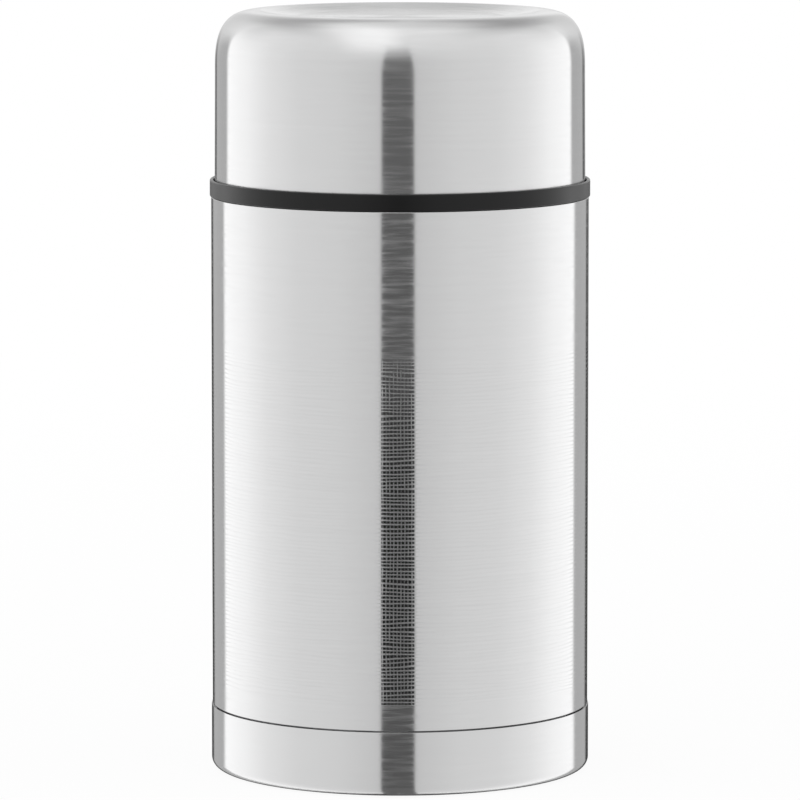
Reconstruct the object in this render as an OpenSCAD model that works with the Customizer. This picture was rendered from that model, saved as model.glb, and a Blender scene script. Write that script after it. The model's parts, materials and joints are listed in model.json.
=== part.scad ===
// Insulated food jar: a double-walled steel vessel, an insulated screw-in stopper with
// a pressure-release button, and a double-walled steel cup that screws over the neck.
// Millimetres, +Z up, origin at the centre of the base on the table.

/* [Vessel] */
// Outside diameter of the body
body_d = 120; // [112:1:130]
// Height of the body's ledge above the table
body_h = 182.8; // [165:0.1:205]
// Radius that rounds the body's top edge
body_edge_r = 1.2; // [0.8:0.1:2]
// Thickness of the body's steel
shell_wall = 0.5; // [0.4:0.05:0.7]
// Thickness of the liner's steel
liner_wall = 0.4; // [0.3:0.05:0.6]
// Vacuum space between the body and the liner
vacuum_gap = 7; // [6:0.1:8]
// Height of the liner's floor above the table
liner_floor = 18; // [17:0.1:24]
// Radius of the liner's bottom corner
liner_corner_r = 10; // [6:0.5:14]
// Height of the slope where the liner narrows to the mouth
liner_slope_h = 9; // [7:0.5:12]
// Thickness of the reflective foil
foil_t = 0.1; // [0.05:0.05:0.3]

/* [Neck] */
// Width of the ledge between the body's side and the neck
ledge_w = 10; // [9.5:0.1:11]
// Height of the mouth above the ledge
neck_h = 21.7; // [20.5:0.1:23]
// Space between the two steel walls of the neck
neck_gap = 2.6; // [2.2:0.1:3]
// Radius of the bend from the ledge up into the neck
neck_bend_r = 1.2; // [0.8:0.1:2]
// Radius of the rolled lip of the mouth
lip_r = 1.6; // [1.2:0.1:2]

/* [Base] */
// Height of the seam between the base cap and the body
base_h = 20.5; // [16:0.1:26]
// How far the base cap stands proud of the body
base_proud = 0.3; // [0.2:0.05:0.5]
// Thickness of the base cap's steel
base_wall = 0.5; // [0.4:0.05:0.7]
// Radius of the base cap's bottom corner
base_corner_r = 3; // [2:0.1:4]
// Width of the flat ring that the jar stands on
foot_w = 8; // [5:0.5:12]
// Depth of the recess inside that ring
recess_depth = 1.6; // [0.8:0.1:2.4]
// Height of the open seam
seam_h = 0.3; // [0.2:0.05:0.5]
// Thickness of the closing pan's steel
pan_wall = 0.5; // [0.4:0.05:0.7]
// Vacuum space between the liner's floor and the closing pan
pan_gap = 6.5; // [6:0.1:7.5]
// Height of the closing pan's rim
pan_rim_h = 5; // [4:0.1:6]
// Radius of the dimple in the closing pan
dimple_r = 9; // [7:0.5:10]
// Depth of that dimple
dimple_depth = 1.3; // [1:0.1:1.8]
// Diameter of the evacuation hole
evac_d = 2.8; // [2:0.1:4]
// Diameter of the solder bead
bead_d = 9; // [7:0.5:11]
// Length of the getter's channel
getter_l = 16; // [12:1:20]
// Width of the getter's channel
getter_w = 6; // [5:0.5:8]
// Height of the getter's channel
getter_h = 2.8; // [2.2:0.1:3.2]
// Thickness of the getter channel's steel
getter_wall = 0.5; // [0.4:0.1:0.6]
// Distance of the getter from the jar's axis
getter_x = 30; // [24:1:38]

/* [Cup] */
// Height of the cup from the rim's underside to its crest
cup_h = 58.7; // [56:0.1:62]
// How far the cup's foot stands in from the body's side
cup_inset = 1.15; // [1:0.05:1.4]
// How far the cup's side leans in over its height
cup_draft = 0.2; // [0:0.05:0.5]
// Thickness of the cup's steel
cup_wall = 0.5; // [0.4:0.05:0.7]
// Width of the rounded shoulder
shoulder_w = 14; // [12:0.1:16]
// Height of the rounded shoulder
shoulder_h = 18.8; // [16:0.1:21]
// Squareness of the shoulder, where 2 is round
shoulder_power = 2.6; // [2.2:0.1:3]
// Radius of the crest's inner edge
crest_r = 1.2; // [0.9:0.1:1.8]
// Depth of the dished top
dish_depth = 1.8; // [1:0.1:2.4]
// Width of the slope from the crest to the dish's floor
dish_slope_w = 6; // [4:0.5:9]
// Height of the gap between the body's ledge and the rim ring
rim_gap = 0.3; // [0.2:0.05:0.5]
// How far the rim ring stands proud of the body's side
rim_proud = 0.4; // [0.2:0.05:0.8]
// Height of the rim ring
rim_h = 5.3; // [4.5:0.1:7]
// Thickness of the rim ring's upstanding lip
rim_lip_t = 1.1; // [0.9:0.05:1.2]
// Thickness of the rim ring's floor, on which the steel's edge stands
rim_floor_t = 2.4; // [1.8:0.1:3]
// Radius of the rim ring's edges
rim_edge_r = 0.5; // [0.3:0.05:0.55]
// Height of the collar inside the steel's edge
collar_h = 7; // [5:0.5:9]
// Thickness of that collar
collar_t = 1.4; // [1:0.1:1.8]
// Thickness of the plastic cup's wall
cup_liner_t = 1.8; // [1.4:0.1:2.2]
// Radius of the plastic cup's bottom corner
cup_liner_r = 13; // [9:0.5:15]
// Thickness of the foam disc between the steel top and the plastic cup
cup_foam_t = 3; // [2:0.1:3.6]
// Radial room for the screw thread between the neck and the cup
cup_thread_room = 2.2; // [1.8:0.1:2.4]

/* [Stopper] */
// Depth of the plug below the mouth
plug_depth = 39.5; // [36:0.1:42]
// Radial room for the screw thread between the mouth and the plug
plug_room = 1.5; // [1.2:0.1:1.8]
// Thickness of the plug's wall
plug_wall = 1.8; // [1.5:0.1:2.2]
// Radius of the plug's bottom corner
plug_corner_r = 3; // [2.5:0.1:4]
// Height of the seat that the gasket wraps
gasket_h = 4.4; // [3.6:0.1:5]
// Radial thickness of the gasket
gasket_t = 3.4; // [3:0.1:3.8]
// Radial clearance between the gasket and the mouth
gasket_room = 0.3; // [0.2:0.05:0.5]
// Thickness of the flange that rests on the mouth
flange_t = 2.4; // [2:0.1:3]
// Height of the gap between the flange and the mouth
seat_gap = 0.1; // [0.05:0.05:0.2]
// How far the grip stands in from the neck's side
grip_inset = 0.6; // [0.3:0.1:1.5]
// Headroom between the button and the plastic cup's ceiling
headroom = 10; // [8:0.5:12]
// Thickness of the grip cover's wall
cover_wall = 2; // [1.6:0.1:2.4]
// Radius of the grip cover's top edge
cover_edge_r = 3; // [2.5:0.1:4]
// Number of flutes round the grip
flute_count = 24; // [12:1:30]
// Radius of each flute
flute_r = 3.2; // [2.6:0.1:4]
// Depth of each flute
flute_depth = 1; // [0.6:0.1:1.1]
// Depth of the two finger hollows beside the button
hollow_depth = 0.8; // [0.4:0.1:1.1]

/* [Vent] */
// Diameter of the push button
button_d = 18.2; // [16:0.1:20]
// Radial clearance round the button
button_room = 0.3; // [0.2:0.05:0.5]
// How far the button stands above the cover
button_rise = 1.6; // [1:0.1:2.4]
// Thickness of the button's top
button_t = 2.2; // [1.8:0.1:2.6]
// Thickness of the button's skirt
skirt_t = 1.2; // [1:0.1:1.4]
// Travel of the button
press = 3; // [2:0.1:3.4]
// Diameter of the stem
stem_d = 5.8; // [5:0.1:6.4]
// Radial clearance round the stem, through which steam escapes
stem_room = 0.4; // [0.3:0.05:0.6]
// Thickness of the guide tube's wall
guide_t = 1.6; // [1.3:0.1:1.8]
// Diameter of the valve's disc
valve_d = 19; // [16:0.5:22]
// Thickness of the valve's disc
valve_t = 1.8; // [1.4:0.1:2.4]
// Diameter of the seal washer
seal_d = 17; // [14:0.5:19]
// Thickness of the seal washer
seal_t = 1.2; // [0.8:0.1:1.6]
// Diameter of the head that holds the valve on the stem
head_d = 8.4; // [7.6:0.1:9.4]
// Thickness of that head
head_t = 1.4; // [1:0.1:1.8]
// Diameter of the spring's wire
wire_d = 0.8; // [0.6:0.05:0.9]
// Number of the spring's turns
spring_turns = 4; // [3:1:5]

/* [Hidden] */
$fn = 120;
round_steps = 8;                // straight steps that make up a rounded corner
curve_steps = 16;               // straight steps that make up a long curve
wire_sides = 6;
turn_steps = 20;                // rings of the spring for each turn

STEEL = [0.79, 0.79, 0.80];
BARE_STEEL = [0.66, 0.67, 0.69];
BLACK = [0.13, 0.13, 0.14];
GREY = [0.30, 0.31, 0.33];
SILICONE = [0.86, 0.86, 0.83];
FOAM = [0.93, 0.90, 0.78];
FOIL = [0.86, 0.87, 0.88];
SOLDER = [0.58, 0.58, 0.60];
POWDER = [0.24, 0.23, 0.22];

// Radii, from the body inwards
body_r = body_d / 2;
base_r = body_r + base_proud;
foot_r = base_r - base_wall;                        // the shell's swaged foot fills the base cap
liner_r = body_r - shell_wall - vacuum_gap;         // outside of the liner
neck_r = body_r - ledge_w;                          // outside of the neck
mouth_out_r = neck_r - shell_wall - neck_gap;       // outside of the liner's neck
mouth_r = mouth_out_r - liner_wall;                 // clear mouth
plug_r = mouth_r - plug_room;
gasket_r = mouth_r - gasket_room;
gasket_seat_r = gasket_r - gasket_t;
grip_r = neck_r - grip_inset;
pan_r = foot_r - shell_wall;
rim_r = body_r + rim_proud;
cup_foot_r = body_r - cup_inset;
cup_top_r = cup_foot_r - cup_draft;
cup_crest_r = cup_top_r - shoulder_w;
cup_liner_in_r = neck_r + cup_thread_room;
cup_liner_out_r = cup_liner_in_r + cup_liner_t;
stem_r = stem_d / 2;
guide_in_r = stem_r + stem_room;
guide_r = guide_in_r + guide_t;
button_r = button_d / 2;
well_r = button_r + button_room;

// Heights, from the table upwards
pan_z = liner_floor - liner_wall - pan_gap;
shell_foot_z = pan_z - pan_rim_h;
mouth_z = body_h + neck_h;
rim_z = body_h + rim_gap;
crest_z = rim_z + cup_h;
shoulder_z = crest_z - shoulder_h;
dish_z = crest_z - dish_depth;
ceiling_out_z = dish_z - cup_wall - cup_foam_t;     // top of the plastic cup, as it stands
ceiling_z = ceiling_out_z - cup_liner_t;
flange_z = mouth_z + seat_gap;
cover_z = flange_z + flange_t;                      // the cover stands on the flange
button_z = ceiling_z - headroom;                    // top of the button
cover_top_z = button_z - button_rise;
plug_z = mouth_z - plug_depth;
plug_floor_z = plug_z + plug_wall;
gasket_z = plug_z + plug_corner_r;
plug_step_z = gasket_z + gasket_h;
spring_z = cover_z + cover_wall;                    // floor of the button's well
spring_top_z = button_z - button_t;
guide_top_z = spring_z + 1.5;                       // the guide stands a little above that floor
seal_top_z = plug_z - seat_gap;
valve_top_z = seal_top_z - seal_t;
head_top_z = valve_top_z - valve_t;

// The foil covers the straight part of the liner
foil_low_z = liner_floor + liner_corner_r;
slope_top_z = gasket_z;                             // the liner is at its mouth size where the gasket seals
foil_high_z = slope_top_z - liner_slope_h;

// ---- Outline helpers: an outline is a list of [radius, height] points ----

// Points along an arc about c, from angle a to angle b
function arc(c, r, a, b, steps = round_steps) =
    [for (i = [0:steps]) c + r * [cos(a + (b - a) * i / steps), sin(a + (b - a) * i / steps)]];

// Points along a smooth S-shaped slope from p to q
function slope(p, q, steps = curve_steps) =
    [for (i = [0:steps]) [p[0] + (q[0] - p[0]) * (1 - cos(180 * i / steps)) / 2,
                          p[1] + (q[1] - p[1]) * i / steps]];

// The same slope, for one that runs across rather than up
function dip(p, q, steps = curve_steps) =
    [for (i = [0:steps]) [p[0] + (q[0] - p[0]) * i / steps,
                          p[1] + (q[1] - p[1]) * (1 - cos(180 * i / steps)) / 2]];

// Unit vector square to the step from a to b, on its right-hand side
function square_to(a, b) = [b[1] - a[1], a[0] - b[0]] / norm(b - a);

// The path moved sideways by d, to its right, with mitred corners
function beside(path, d) =
    [for (i = [0:len(path) - 1])
        let (before = square_to(path[max(i - 1, 0)], path[max(i, 1)]),
             after = square_to(path[min(i, len(path) - 2)], path[min(i + 1, len(path) - 1)]),
             mitre = before + after)
        path[i] + mitre * (2 * d / (mitre * mitre))];

function reversed(path) = [for (i = [len(path) - 1:-1:0]) path[i]];

// Closed outline of a sheet of the given thickness along a path, on its right
function sheet(path, thickness) = concat(path, reversed(beside(path, thickness)));

// Turns an outline about the jar's axis
module turned(outline) {
    rotate_extrude() polygon(outline);
}

// ---- Vessel ----

// Outside of the body's steel, from its foot up to the mouth
shell_path = concat(
    [[foot_r, shell_foot_z], [foot_r, base_h], [body_r, base_h + seam_h]],
    arc([body_r - body_edge_r, body_h - body_edge_r], body_edge_r, 0, 90),
    arc([neck_r + neck_bend_r, body_h + neck_bend_r], neck_bend_r, 270, 180),
    [[neck_r, mouth_z - liner_wall]]);

// Food side of the liner, from the middle of its floor up and over the lip
liner_path = concat(
    [[0, liner_floor]],
    arc([liner_r - liner_wall - liner_corner_r, liner_floor + liner_corner_r], liner_corner_r, 270, 360),
    slope([liner_r - liner_wall, foil_high_z], [mouth_r, slope_top_z]),
    arc([mouth_r + lip_r, mouth_z - lip_r], lip_r, 180, 90),
    [[neck_r, mouth_z]]);

// Vacuum side of the closing pan, from the evacuation hole out and down its rim
pan_corner_r = 1.6;
pan_path = concat(
    [[evac_d / 2, pan_z + dimple_depth]],
    dip([dimple_r, pan_z + dimple_depth], [dimple_r + 4, pan_z], round_steps),
    arc([pan_r - pan_corner_r, pan_z - pan_corner_r], pan_corner_r, 90, 0),
    [[pan_r, shell_foot_z]]);

// Outside of the base cap, from the middle of its underside out and up to the seam
foot_out_r = base_r - base_corner_r;
foot_in_r = foot_out_r - foot_w;
base_path = concat(
    [[0, recess_depth]],
    dip([foot_in_r - 3, recess_depth], [foot_in_r, 0], round_steps),
    arc([foot_out_r, base_corner_r], base_corner_r, 270, 360),
    [[base_r, base_h]]);

module outer_shell() {
    color(STEEL) turned(sheet(shell_path, -shell_wall));
}

module inner_liner() {
    color(BARE_STEEL) turned(sheet(liner_path, liner_wall));
}

module vacuum_base() {
    color(BARE_STEEL) turned(sheet(pan_path, pan_wall));
}

// Solder bead under the dimple, with the solder that fills the hole
module vacuum_plug() {
    bead_z = pan_z + dimple_depth - pan_wall;
    bead_h = dimple_depth - 0.2;
    color(SOLDER) turned(concat(
        [[0, bead_z - bead_h]],
        dip([bead_d / 6, bead_z - bead_h], [bead_d / 2, bead_z - 0.2], round_steps),
        [[bead_d / 2, bead_z], [evac_d / 2, bead_z], [evac_d / 2, pan_z + dimple_depth],
         [0, pan_z + dimple_depth]]));
}

// Open channel, welded flat on the closing pan
module getter_holder() {
    color(BARE_STEEL) translate([getter_x, 0, pan_z]) rotate([90, 0, 90])
        linear_extrude(getter_l, center = true) polygon([
            [-getter_w / 2, 0], [getter_w / 2, 0], [getter_w / 2, getter_h],
            [getter_w / 2 - getter_wall, getter_h], [getter_w / 2 - getter_wall, getter_wall],
            [getter_wall - getter_w / 2, getter_wall], [getter_wall - getter_w / 2, getter_h],
            [-getter_w / 2, getter_h]]);
}

// Pressed bar with rounded ends, lying in the channel
module getter_tablet() {
    bar_w = getter_w - 2 * getter_wall;
    bar_h = getter_h - getter_wall - 0.3;
    reach = getter_l / 2 - bar_w / 2 - 0.5;
    color(POWDER) translate([getter_x, 0, pan_z + getter_wall]) {
        for (side = [-1, 1]) translate([side * reach, 0, 0]) cylinder(h = bar_h, d = bar_w);
        translate([-reach, -bar_w / 2, 0]) cube([2 * reach, bar_w, bar_h]);
    }
}

module reflective_foil() {
    color(FOIL) turned([
        [liner_r, foil_low_z], [liner_r + foil_t, foil_low_z],
        [liner_r + foil_t, foil_high_z], [liner_r, foil_high_z]]);
}

module base_cap() {
    color(STEEL) turned(sheet(base_path, -base_wall));
}

// ---- Stopper ----

// Outside of the plug, from its guide out and up to the flange
plug_path = concat(
    [[guide_in_r, plug_z]],
    arc([gasket_seat_r - plug_corner_r, gasket_z], plug_corner_r, 270, 360),
    [[gasket_seat_r, plug_step_z], [plug_r, plug_step_z], [plug_r, flange_z]]);
plug_inside = beside(plug_path, -plug_wall);
plug_inner_r = plug_r - plug_wall;

module stopper_body() {
    color(GREY) rotate_extrude() {
        polygon(concat(plug_path, reversed(plug_inside)));
        translate([plug_inner_r, flange_z]) square([grip_r - plug_inner_r, flange_t]);
        translate([guide_in_r, plug_z]) square([guide_t, guide_top_z - plug_z]);
    }
}

// Outside of the cover, from the flange up and in over its top to the button's well
cover_path = concat(
    [[grip_r, cover_z]],
    arc([grip_r - cover_edge_r, cover_top_z - cover_edge_r], cover_edge_r, 0, 90),
    [[well_r + cover_wall, cover_top_z]]);

// Shallow hollow for a finger, pressed into the cover beside the button
module finger_hollow() {
    ball_r = 60;
    middle = (well_r + cover_wall + grip_r - cover_edge_r) / 2;
    translate([middle, 0, cover_top_z + ball_r - hollow_depth]) sphere(r = ball_r);
}

module stopper_cover() {
    color(BLACK) difference() {
        rotate_extrude() {
            polygon(sheet(cover_path, -cover_wall));
            translate([well_r, spring_z - cover_wall])
                square([cover_wall, cover_top_z - spring_z + cover_wall]);
            translate([guide_r, spring_z - cover_wall]) square([well_r - guide_r, cover_wall]);
        }
        for (i = [0:flute_count - 1]) rotate(i * 360 / flute_count)
            translate([grip_r + flute_r - flute_depth, 0, cover_z - 1])
                cylinder(h = cover_top_z - cover_z + 2, r = flute_r);
        for (turn = [0, 180]) rotate(turn) finger_hollow();
    }
}

// Foam that fills the plug up to the cover
module stopper_foam() {
    color(FOAM) turned(concat(
        [[guide_r, plug_floor_z]],
        [for (p = plug_inside) if (p[0] > guide_r && p[1] < flange_z) p],
        [[plug_inner_r, cover_z], [guide_r, cover_z]]));
}

// Ring seal with a thin lip that wipes the wall of the mouth
module stopper_gasket() {
    lip_t = 1;
    color(SILICONE) turned([
        [gasket_seat_r, gasket_z], [gasket_seat_r + gasket_t / 2, gasket_z],
        [gasket_seat_r + gasket_t / 2, gasket_z + gasket_h * 0.4],
        [gasket_r, plug_step_z - lip_t], [gasket_r, plug_step_z],
        [gasket_seat_r, plug_step_z]]);
}

// Coil of round wire between the well's floor and the button
coil_r = (guide_r + button_r - skirt_t) / 2;
coil_low_z = spring_z + wire_d / 2;
coil_high_z = spring_top_z - wire_d / 2;
coil_rings = spring_turns * turn_steps;
coil_points = [
    for (i = [0:coil_rings], k = [0:wire_sides - 1])
        let (turn = 360 * i / turn_steps,
             around = 360 * k / wire_sides,
             r = coil_r + wire_d / 2 * cos(around),
             z = coil_low_z + (coil_high_z - coil_low_z) * i / coil_rings + wire_d / 2 * sin(around))
        [r * cos(turn), r * sin(turn), z]];
coil_faces = concat(
    [[for (k = [0:wire_sides - 1]) k]],
    [for (i = [0:coil_rings - 1], k = [0:wire_sides - 1])
        let (a = i * wire_sides + k, b = i * wire_sides + (k + 1) % wire_sides)
        each [[a, a + wire_sides, b], [b, a + wire_sides, b + wire_sides]]],
    [[for (k = [wire_sides - 1:-1:0]) coil_rings * wire_sides + k]]);
echo(coil_gap = (coil_high_z - coil_low_z) / spring_turns - wire_d);

module vent_spring() {
    color(STEEL) polyhedron(coil_points, coil_faces);
}

// ---- Vent ----

boss_r = stem_r + 1.4;
boss_h = 3.6;                   // depth to which the stem is pressed into the button

// Push button: dished top, skirt that guides it in the well, and a boss for the stem
module vent_button() {
    skirt_z = spring_z + press + 0.5;
    color(GREY) rotate_extrude() difference() {
        polygon(concat(
            [[0, button_z - 0.6], [button_r - 2.4, button_z - 0.4]],
            arc([button_r - 1, button_z - 1], 1, 90, 0),
            [[button_r, skirt_z], [button_r - skirt_t, skirt_z], [button_r - skirt_t, spring_top_z],
             [boss_r, spring_top_z], [boss_r, spring_top_z - boss_h], [0, spring_top_z - boss_h]]));
        translate([-1, spring_top_z - boss_h - 1]) square([stem_r + 1, boss_h + 1]);
    }
}

// Rod with a flared head; three flutes leave a way for the steam
module vent_stem() {
    flute_w = 1.6;
    color(STEEL) difference() {
        turned([
            [0, head_top_z - head_t], [head_d / 2 - 0.6, head_top_z - head_t],
            [head_d / 2, head_top_z - head_t + 0.6], [head_d / 2, head_top_z],
            [stem_r, head_top_z], [stem_r, spring_top_z], [0, spring_top_z]]);
        for (i = [0:2]) rotate(i * 120) translate([stem_r + 0.2, 0, seal_top_z])
            cylinder(h = guide_top_z - seal_top_z, d = flute_w);
    }
}

module vent_valve() {
    color(GREY) turned([
        [stem_r, head_top_z], [valve_d / 2 - 0.6, head_top_z], [valve_d / 2, head_top_z + 0.6],
        [valve_d / 2, valve_top_z], [stem_r, valve_top_z]]);
}

module vent_seal() {
    color(SILICONE) turned([
        [stem_r, valve_top_z], [seal_d / 2, valve_top_z], [seal_d / 2 - 0.4, seal_top_z],
        [stem_r, seal_top_z]]);
}

// ---- Cup ----

// Outside of the cup's steel, from its edge in the rim ring up over the shoulder to the dish
rim_floor_z = rim_z + rim_floor_t;
crest_turn = 35;                // angle at which the crest turns down into the dish
crest_middle = [cup_crest_r, crest_z - crest_r];
crest_end = crest_middle + crest_r * [cos(90 + crest_turn), sin(90 + crest_turn)];
cup_path = concat(
    [[cup_foot_r, rim_floor_z]],
    [for (i = [0:curve_steps - 1])
        let (t = 90 * i / curve_steps)
        [cup_crest_r + shoulder_w * pow(cos(t), 2 / shoulder_power),
         shoulder_z + shoulder_h * pow(sin(t), 2 / shoulder_power)]],
    arc(crest_middle, crest_r, 90, 90 + crest_turn, round_steps / 2),
    [for (i = [1:round_steps])
        let (t = i / round_steps)
        [crest_end[0] - dish_slope_w * t, dish_z + (crest_end[1] - dish_z) * pow(1 - t, 2)]],
    [[0, dish_z]]);

module cup_shell() {
    color(STEEL) turned(sheet(cup_path, -cup_wall));
}

// Plastic cup: inner wall and ceiling, collar inside the steel, and the rim ring
cup_liner_path = concat(
    [[cup_liner_out_r, rim_z]],
    arc([cup_liner_out_r - cup_liner_r, ceiling_out_z - cup_liner_r], cup_liner_r, 0, 90),
    [[0, ceiling_out_z]]);
collar_r = cup_foot_r - cup_wall - 0.1;             // clear of the steel, which leans in above its edge
lip_in_r = rim_r - rim_lip_t;
rim_top_z = rim_z + rim_h;
rim_round = min(rim_edge_r, rim_lip_t / 2);

module cup_liner() {
    color(BLACK) rotate_extrude() {
        polygon(sheet(cup_liner_path, -cup_liner_t));
        polygon(concat(
            [[cup_liner_in_r, rim_z]],
            arc([rim_r - rim_round, rim_z + rim_round], rim_round, 270, 360),
            arc([rim_r - rim_round, rim_top_z - rim_round], rim_round, 0, 90),
            arc([lip_in_r + rim_round, rim_top_z - rim_round], rim_round, 90, 180),
            [[lip_in_r, rim_floor_z], [collar_r, rim_floor_z], [collar_r, rim_floor_z + collar_h - 1],
             [collar_r - 1, rim_floor_z + collar_h], [collar_r - collar_t, rim_floor_z + collar_h],
             [collar_r - collar_t, rim_floor_z], [cup_liner_in_r, rim_floor_z]]));
    }
}

// Foam disc between the plastic cup's ceiling and the steel's dish
module cup_insulation() {
    foam_r = cup_liner_out_r - cup_liner_r - 2;
    color(FOAM) translate([0, 0, ceiling_out_z]) cylinder(h = cup_foam_t, r = foam_r);
}

outer_shell();
inner_liner();
vacuum_base();
vacuum_plug();
getter_holder();
getter_tablet();
reflective_foil();
base_cap();
stopper_body();
stopper_cover();
stopper_foam();
stopper_gasket();
vent_spring();
vent_button();
vent_stem();
vent_valve();
vent_seal();
cup_shell();
cup_liner();
cup_insulation();
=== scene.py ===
"""Insulated food jar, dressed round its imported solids.

A double-walled steel jar with a screw-off steel cup, a black rim ring and an
insulated stopper with a push-button vent. Each sub-assembly is a class that
holds its sizes in millimetres, turns its own pieces and dresses them. Meshes
are made in metres, in the frame of the solids: +Z up the jar's axis, origin on
the table.
"""

from __future__ import annotations

import json
import logging
import math
from collections.abc import Callable, Sequence
from dataclasses import dataclass, field
from enum import Enum
from functools import reduce

import bpy
import numpy as np
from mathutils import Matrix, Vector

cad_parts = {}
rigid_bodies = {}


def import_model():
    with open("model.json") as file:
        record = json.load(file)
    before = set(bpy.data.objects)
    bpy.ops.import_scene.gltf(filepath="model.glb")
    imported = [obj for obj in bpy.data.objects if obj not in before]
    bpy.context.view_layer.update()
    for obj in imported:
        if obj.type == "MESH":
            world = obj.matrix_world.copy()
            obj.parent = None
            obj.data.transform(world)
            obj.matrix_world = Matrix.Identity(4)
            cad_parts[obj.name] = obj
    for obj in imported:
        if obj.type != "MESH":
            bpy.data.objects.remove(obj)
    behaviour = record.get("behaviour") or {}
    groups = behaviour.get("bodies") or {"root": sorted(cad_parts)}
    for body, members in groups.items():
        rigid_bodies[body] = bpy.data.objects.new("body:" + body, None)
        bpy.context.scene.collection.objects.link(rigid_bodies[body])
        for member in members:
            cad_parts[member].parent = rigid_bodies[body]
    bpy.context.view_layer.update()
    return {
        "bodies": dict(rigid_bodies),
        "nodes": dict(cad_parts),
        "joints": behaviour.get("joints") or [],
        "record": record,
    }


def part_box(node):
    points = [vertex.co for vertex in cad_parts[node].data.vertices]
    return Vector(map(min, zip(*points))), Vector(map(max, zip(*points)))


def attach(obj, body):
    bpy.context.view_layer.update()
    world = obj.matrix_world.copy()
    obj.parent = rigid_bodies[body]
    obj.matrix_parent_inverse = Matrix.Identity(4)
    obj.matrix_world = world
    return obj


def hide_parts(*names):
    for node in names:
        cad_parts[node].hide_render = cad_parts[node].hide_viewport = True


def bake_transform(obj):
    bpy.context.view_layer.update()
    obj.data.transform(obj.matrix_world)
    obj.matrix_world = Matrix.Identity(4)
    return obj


MM = 0.001

Point = tuple[float, float]
Path = list[Point]
Colour = tuple[float, float, float]
Socket = bpy.types.NodeSocket

log = logging.getLogger("food_jar")


class Body(Enum):
    """The four bodies of the jar that move against each other."""

    VESSEL = "vessel"
    STOPPER = "stopper"
    VENT = "vent"
    CUP = "cup"


class Slot(Enum):
    """Material slots of the record, passed along with new pieces."""

    BRUSHED_STEEL = "brushed_steel"
    LINER_STEEL = "liner_steel"
    SPRING_STEEL = "spring_steel"
    BLACK_PLASTIC = "black_plastic"
    GREY_PLASTIC = "grey_plastic"
    SILICONE = "silicone"


# ---- Outlines: runs of (radius, height) points in millimetres ----


def arc(centre: Point, radius: float, start: float, end: float, steps: int = 12) -> Path:
    """Points along an arc.

    Args:
        centre: Middle of the arc.
        radius: Its radius.
        start: Angle of its first point, in degrees from the outward direction.
        end: Angle of its last point.
        steps: Number of straight steps.

    Returns:
        The points, first and last included.
    """
    angles = np.radians(np.linspace(start, end, steps + 1))
    return [(centre[0] + radius * math.cos(a), centre[1] + radius * math.sin(a)) for a in angles]


def line(start: Point, end: Point, steps: int) -> Path:
    """Points along a straight run.

    Args:
        start: First point.
        end: Last point.
        steps: Number of steps.

    Returns:
        The points, first and last included.
    """
    t = np.linspace(0, 1, steps + 1)
    return [(start[0] + (end[0] - start[0]) * k, start[1] + (end[1] - start[1]) * k) for k in t]


def ease_up(start: Point, end: Point, steps: int = 28) -> Path:
    """Points along a smooth S-shaped slope that runs mostly upwards.

    Args:
        start: First point.
        end: Last point.
        steps: Number of steps.

    Returns:
        The points, first and last included.
    """
    t = np.linspace(0, 1, steps + 1)
    return [
        (start[0] + (end[0] - start[0]) * (1 - math.cos(math.pi * k)) / 2,
         start[1] + (end[1] - start[1]) * k)
        for k in t
    ]


def ease_across(start: Point, end: Point, steps: int = 16) -> Path:
    """Points along a smooth S-shaped slope that runs mostly outwards.

    Args:
        start: First point.
        end: Last point.
        steps: Number of steps.

    Returns:
        The points, first and last included.
    """
    return [(r, z) for z, r in ease_up((start[1], start[0]), (end[1], end[0]), steps)]


def beside(path: Sequence[Point], distance: float) -> Path:
    """The path moved sideways with mitred corners.

    Args:
        path: The points to follow.
        distance: How far to move, to the right of the direction of travel.

    Returns:
        As many points as the path has.
    """
    p = np.array(path, float)
    step = np.diff(p, axis=0)
    square = np.stack([step[:, 1], -step[:, 0]], 1) / np.linalg.norm(step, axis=1)[:, None]
    mitre = np.vstack([square[:1], square]) + np.vstack([square, square[-1:]])
    moved = p + mitre * (2 * distance / (mitre * mitre).sum(1))[:, None]
    return [(float(r), float(z)) for r, z in moved]


def sheet(path: Sequence[Point], thickness: float) -> Path:
    """Closed outline of a sheet along a path.

    Args:
        path: One face of the sheet.
        thickness: Its thickness, to the right of the path where positive.

    Returns:
        The outline, out along one face and back along the other.
    """
    return [*path, *reversed(beside(path, thickness))]


def distinct(outline: Sequence[Point]) -> np.ndarray:
    """The points of a closed outline, without those that repeat the one before."""
    return np.array([q for i, q in enumerate(outline) if math.dist(q, outline[i - 1]) > 1e-6], float)


def eased(outline: Sequence[Point], radius: float, turn: float = 38.0) -> Path:
    """The outline with each sharp corner off the axis rounded a little.

    Args:
        outline: A closed outline.
        radius: Radius of the rounding, less where an edge is short.
        turn: Smallest turn in degrees that counts as a sharp corner.

    Returns:
        The closed outline with its rounded corners.
    """
    p = distinct(outline)
    made: Path = []
    for before, here, after in zip(np.roll(p, 1, 0), p, np.roll(p, -1, 0)):
        back, on = before - here, after - here
        shortest = min(np.linalg.norm(back), np.linalg.norm(on))
        back, on = back / np.linalg.norm(back), on / np.linalg.norm(on)
        bend = math.pi - math.acos(float(np.clip(back @ on, -1, 1)))
        if here[0] < 1e-6 or math.degrees(bend) < turn:
            made.append((float(here[0]), float(here[1])))
            continue
        cut = min(radius * math.tan(bend / 2), 0.45 * shortest)
        for t in (0.0, 0.25, 0.5, 0.75, 1.0):
            a, b = here + back * cut * (1 - t), here + on * cut * t
            q = a * (1 - t) + b * t
            made.append((float(q[0]), float(q[1])))
    return made


# ---- Mesh makers ----


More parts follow.
